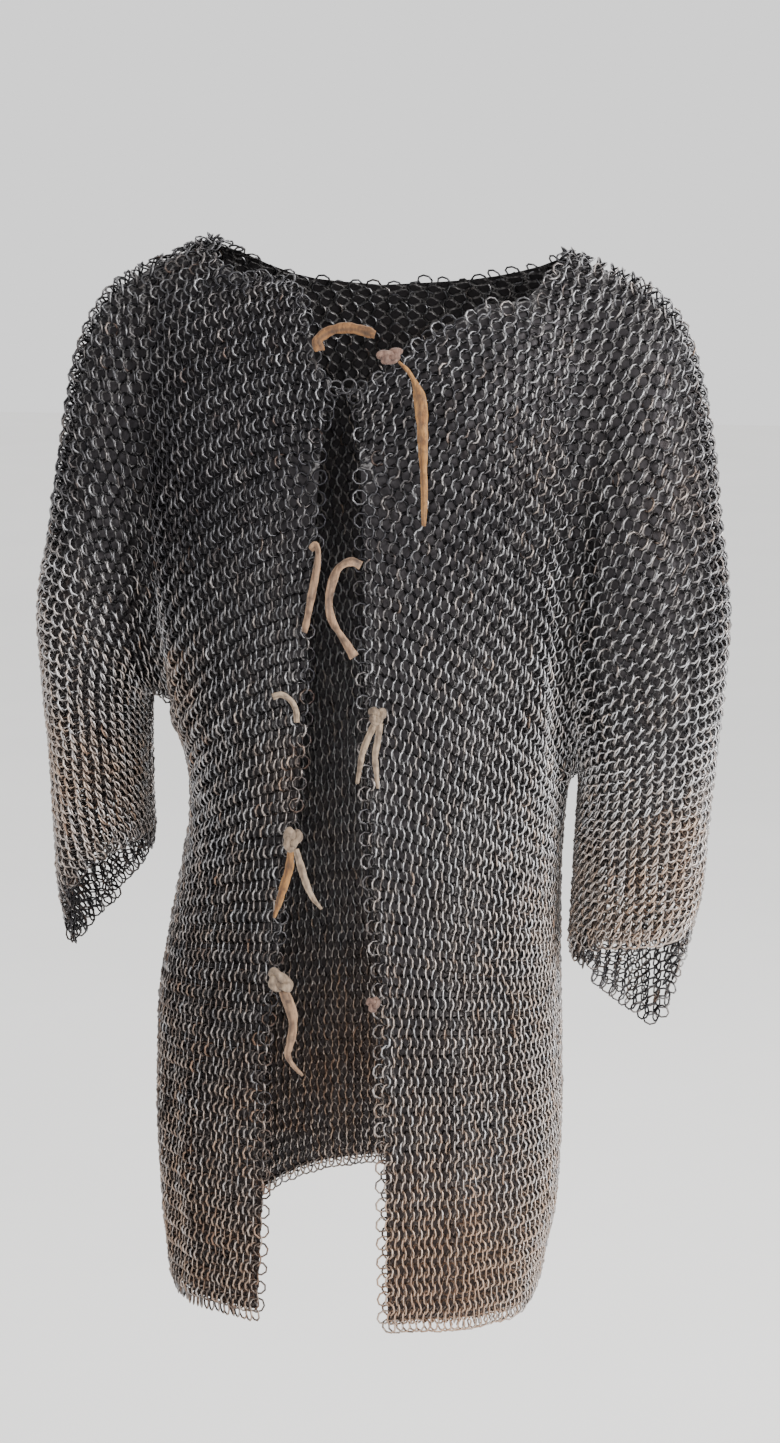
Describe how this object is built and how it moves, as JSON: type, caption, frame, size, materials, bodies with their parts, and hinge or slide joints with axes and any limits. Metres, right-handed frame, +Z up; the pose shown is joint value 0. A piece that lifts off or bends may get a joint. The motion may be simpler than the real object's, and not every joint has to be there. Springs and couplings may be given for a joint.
{
  "type": "chainmail hauberk",
  "caption": "Iron chainmail hauberk, open down the front, with elbow-length sleeves, a thigh-length skirt and leather ties at the front edges, in its worn, hollow shape.",
  "frame": {"origin": "middle of the shoulder line, where the wearer's shoulders carry the hauberk", "axes": "+Z up, -Y towards the open front, +X towards the wearer's left"},
  "size_m": [0.5646, 0.2623, 0.8556],
  "materials": {
    "iron_mail": "dull, darkened iron wire with some rust",
    "leather_tie": "matt, worn tan leather"
  },
  "bodies": {
    "root": {"right_front": "iron_mail", "left_front": "iron_mail", "back": "iron_mail", "right_sleeve": "iron_mail", "left_sleeve": "iron_mail", "neck_link_ring": "iron_mail", "neck_strap": "leather_tie", "neck_lace": "leather_tie", "upper_right_lace": "leather_tie", "upper_left_loop": "leather_tie", "middle_right_stub": "leather_tie", "middle_left_end_long": "leather_tie", "middle_left_end_short": "leather_tie", "lower_right_end_long": "leather_tie", "lower_right_end_curved": "leather_tie", "bottom_right_end": "leather_tie", "neck_knot": "leather_tie", "middle_left_knot": "leather_tie", "lower_right_knot": "leather_tie", "bottom_right_knot": "leather_tie", "bottom_left_knot": "leather_tie"}
  },
  "joints": []
}
